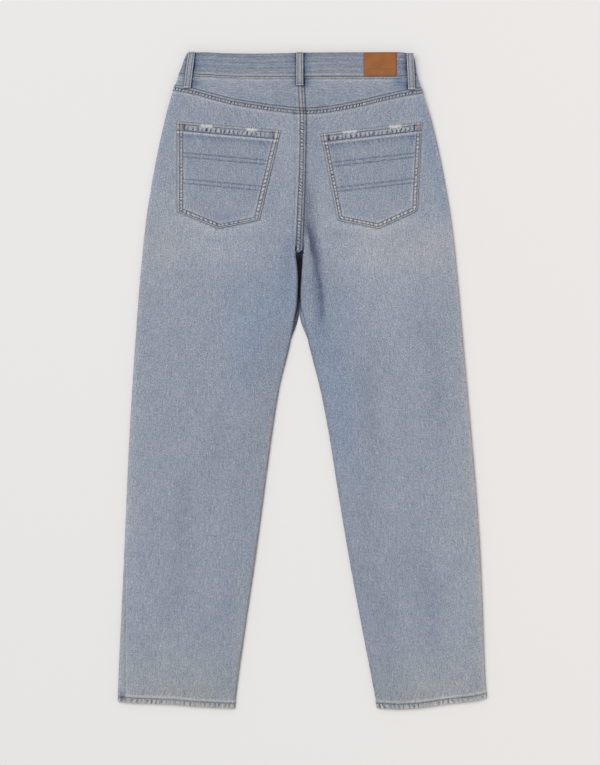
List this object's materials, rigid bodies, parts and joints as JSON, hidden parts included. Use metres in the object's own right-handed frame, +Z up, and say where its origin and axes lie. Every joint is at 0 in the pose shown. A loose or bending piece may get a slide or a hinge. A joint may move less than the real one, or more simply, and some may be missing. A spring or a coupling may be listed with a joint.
{
  "type": "tapered jeans laid flat",
  "caption": "Pair of faded tapered jeans laid flat with the back uppermost: yoke, patch pockets, belt loops, waistband with a bare leather patch, closed fly underneath.",
  "frame": {"origin": "on the surface that the jeans lie on, under the middle of their outline", "axes": "+X towards the wearer's right side, +Y from the hems towards the waist, +Z up from the surface, out of the back of the jeans"},
  "size_m": [0.5736, 1.0196, 0.0146],
  "materials": {
    "denim": "washed indigo twill, faded under the pockets",
    "denim_dark": "less faded indigo twill",
    "leather": "smooth tan leather, bare",
    "metal": "dull antique brass",
    "zip_tape": "woven tape with its chain closed"
  },
  "bodies": {
    "root": {"waistband": "denim", "yoke_left": "denim", "yoke_right": "denim", "back_leg_left": "denim", "back_leg_right": "denim", "front_leg_left": "denim", "front_leg_right": "denim", "front_pocket_facing_left": "denim_dark", "front_pocket_facing_right": "denim_dark", "back_pocket_left": "denim", "back_pocket_right": "denim", "belt_loop_back_centre": "denim", "belt_loop_back_left": "denim", "belt_loop_back_right": "denim", "belt_loop_front_left": "denim", "belt_loop_front_right": "denim", "patch": "leather", "zip": "zip_tape", "button": "metal"}
  },
  "joints": []
}
